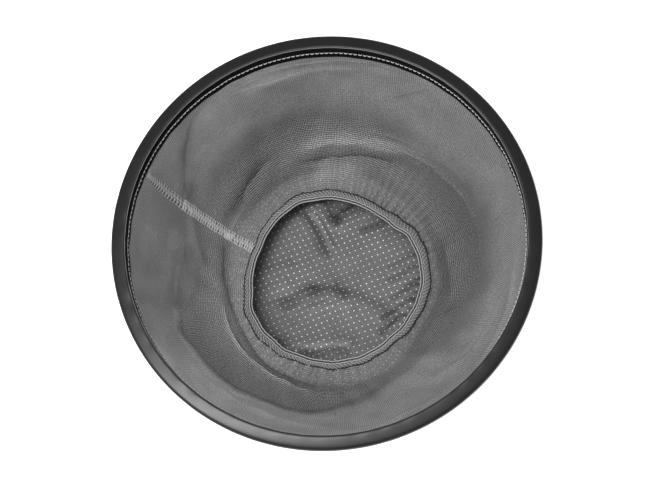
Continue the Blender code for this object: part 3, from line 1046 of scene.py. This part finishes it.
def build_ring_seam():
    """The gathered seam allowances of net and crown, overlocked together and stitched down."""
    def place(theta, s):
        share = 1 - np.abs(2 * s - 1)
        under = np.where(s > 0.5, 1, 0)
        ridges = 0.00022 * np.sin(190 * theta + 5 * share) * (1 - under)
        thick = 0.0011 * smooth_step(share / 0.1) * smooth_step((1 - share) / 0.1)
        return band_point(theta, share, ridges - thick * under)

    band = turned_sheet("head_ring_seam_band", 600, 24, place, section_closed=True)
    cloth = tape_material("ring_seam_cloth", 0.048, rib=0.0022, contrast=3.2)
    finish_piece(band, cloth, "overlock_thread", "crown_seam_overlock")
    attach(band, "crown")

    go = np.linspace(0, 1, 6)
    lift = np.array([0.0001, 0.0005, 0.0005, 0.0004, 0.0002, -0.0007])
    lacing = []
    for k in range(RING_LOOPS):
        turn = TAU * (k + 1.4 * go) / RING_LOOPS
        lacing.append(polar(*band_point(turn, 0.12 + 0.94 * go, lift)))
    threads = tubes("head_ring_overlock_thread", lacing, 0.00032, sides=5)
    finish_piece(threads, thread_material("ring_thread", 0.30), "overlock_thread")
    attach(threads, "crown")

    turn = np.linspace(0, TAU, 1500, endpoint=False)
    jag = 1.08 + 0.07 * np.sin(RING_LOOPS * turn) + 0.10 * waves(turn, 0, 73, (40, 160), (0, 1))
    edge = polar(*band_point(turn, jag, 0.0001 * np.sin(2 * RING_LOOPS * turn) - 0.0002))
    chain = tubes("head_ring_edge_thread", [edge], 0.00080, sides=5, closed=True)
    finish_piece(chain, thread_material("edge_thread", 0.010), "overlock_thread")
    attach(chain, "crown")

    def path(angle, lift):
        return polar(*band_point(angle, 0.22, lift + 0.0004))

    stitches = stitch_row("head_ring_stitches", 180, 0.72, 0.00034, path, 0.0006)
    finish_piece(stitches, thread_material("ring_stitch_thread", 0.24), "thread", "crown_seam_stitching")
    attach(stitches, "crown")


def finish_wire():
    steel = steel_material()
    for name in ("hoop_wire", "hoop_ferrule"):
        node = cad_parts[name]
        node.data.materials.clear()
        node.data.materials.append(steel)


# ---------------- stage, light and camera

FLOOR_GLOW = 0.50
WORLD_LIGHT = 0.55


def build_stage():
    """A plain white floor, a little luminous like a light table, under an even white sky."""
    bpy.ops.mesh.primitive_plane_add(size=30, location=(0, 0, 0))
    floor = bpy.context.object
    floor.name = "floor"
    made, _, shader = graph("pale_floor")
    shader.inputs["Base Color"].default_value = (0.92, 0.92, 0.92, 1)
    shader.inputs["Roughness"].default_value = 0.9
    shader.inputs["Emission Color"].default_value = (1, 1, 1, 1)
    shader.inputs["Emission Strength"].default_value = FLOOR_GLOW
    floor.data.materials.append(made)

    world = bpy.data.worlds.new("studio")
    world.use_nodes = True
    sky = world.node_tree.nodes["Background"].inputs
    sky["Color"].default_value = (1, 1, 1, 1)
    sky["Strength"].default_value = WORLD_LIGHT
    bpy.context.scene.world = world
    bpy.context.scene.view_settings.view_transform = "Standard"


LIGHT_AIM = 0.08


def area_light(name, azimuth, elevation, distance, size, power):
    """A soft box in a direction given in degrees. It faces the veil's axis, LIGHT_AIM above the floor."""
    a, e = math.radians(azimuth), math.radians(elevation)
    place = Vector((math.cos(a) * math.cos(e), math.sin(a) * math.cos(e), math.sin(e))) * distance
    data = bpy.data.lights.new(name, "AREA")
    data.shape = "RECTANGLE"
    data.size, data.size_y = size
    data.energy = power
    lamp = bpy.data.objects.new(name, data)
    lamp.location = place + Vector((0, 0, LIGHT_AIM))
    lamp.rotation_euler = place.to_track_quat("Z", "Y").to_euler()
    bpy.context.scene.collection.objects.link(lamp)


def build_lights():
    area_light("overhead", azimuth=250, elevation=76, distance=2.0, size=(1.5, 1.5), power=10)
    area_light("rim_gloss", azimuth=199, elevation=66, distance=1.3, size=(0.28, 1.00), power=25)


CAMERA_LENS = 85.0
CAMERA_ELEVATION = 73.3
CAMERA_ROLL = 14.0
CAMERA_DISTANCE = 1.424
CAMERA_DROP = 0.0128  # how far the picture's middle lies below the rim's
CAMERA_ASIDE = 0.0010  # and how far to its right


def build_camera():
    e = math.radians(CAMERA_ELEVATION)
    back = Vector((0, -math.cos(e), math.sin(e)))
    up = Vector((0, math.sin(e), math.cos(e)))
    right = Vector((1, 0, 0))
    turned = Matrix.Rotation(-math.radians(CAMERA_ROLL), 3, back)
    right, up = turned @ right, turned @ up
    target = Vector((0, 0, RIM_HEIGHT)) - up * CAMERA_DROP + right * CAMERA_ASIDE
    data = bpy.data.cameras.new("camera")
    data.lens = CAMERA_LENS
    camera = bpy.data.objects.new("camera", data)
    place = Matrix((right, up, back)).transposed().to_4x4()
    place.translation = target + back * CAMERA_DISTANCE
    camera.matrix_world = place
    bpy.context.scene.collection.objects.link(camera)
    bpy.context.scene.camera = camera


build_stage()
build_lights()
build_camera()
finish_wire()
build_binding()
build_hem()
net = build_net()
seam_pieces = build_side_seam()
crown = build_crown()
build_elastic()
build_piping()
build_ring_seam()
for piece in (net, *seam_pieces):
    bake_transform(piece)
